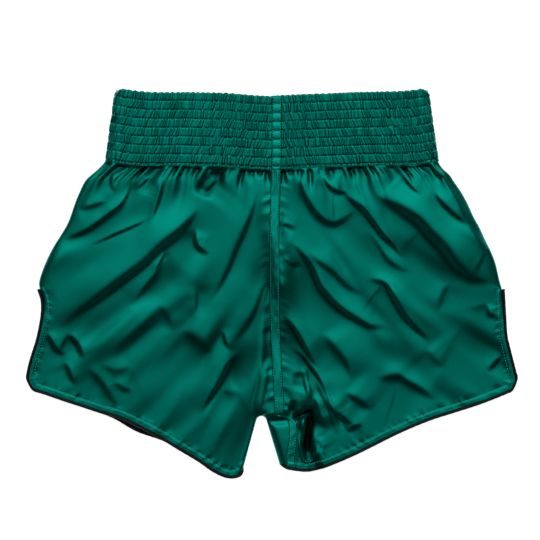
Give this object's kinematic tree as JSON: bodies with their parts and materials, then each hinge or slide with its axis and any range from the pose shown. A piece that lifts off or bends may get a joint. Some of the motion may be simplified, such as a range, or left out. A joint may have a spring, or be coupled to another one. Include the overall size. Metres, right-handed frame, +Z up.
{
  "type": "boxing shorts",
  "caption": "Loose satin boxing shorts laid flat, with a gathered elastic waistband, side slits, a crotch gusset and bound hems.",
  "frame": {"origin": "on the floor, at the middle of the rectangle that the flat shorts cover", "axes": "+Z up out of the front layer, +Y towards the waist, +X to the right of a viewer who looks down at the front with the waist away from them"},
  "size_m": [0.4746, 0.3763, 0.0132],
  "materials": {
    "satin": "shiny polyester satin, teal green",
    "seam_tape": "the same satin, folded and stitched along both edges",
    "binding": "black satin bias binding",
    "elastic": "white braided elastic, inside the waistband"
  },
  "bodies": {
    "root": {"waistband_casing_left": "satin", "waistband_casing_right": "satin", "front_left_panel": "satin", "front_right_panel": "satin", "back_left_panel": "satin", "back_right_panel": "satin", "crotch_gusset": "satin", "centre_front_seam": "seam_tape", "centre_back_seam": "seam_tape", "front_left_inseam": "seam_tape", "front_right_inseam": "seam_tape", "back_left_inseam": "seam_tape", "back_right_inseam": "seam_tape", "left_leg_binding": "binding", "right_leg_binding": "binding", "elastic_1": "elastic", "elastic_2": "elastic", "elastic_3": "elastic", "elastic_4": "elastic", "elastic_5": "elastic", "elastic_6": "elastic", "elastic_7": "elastic", "elastic_8": "elastic"}
  },
  "joints": []
}
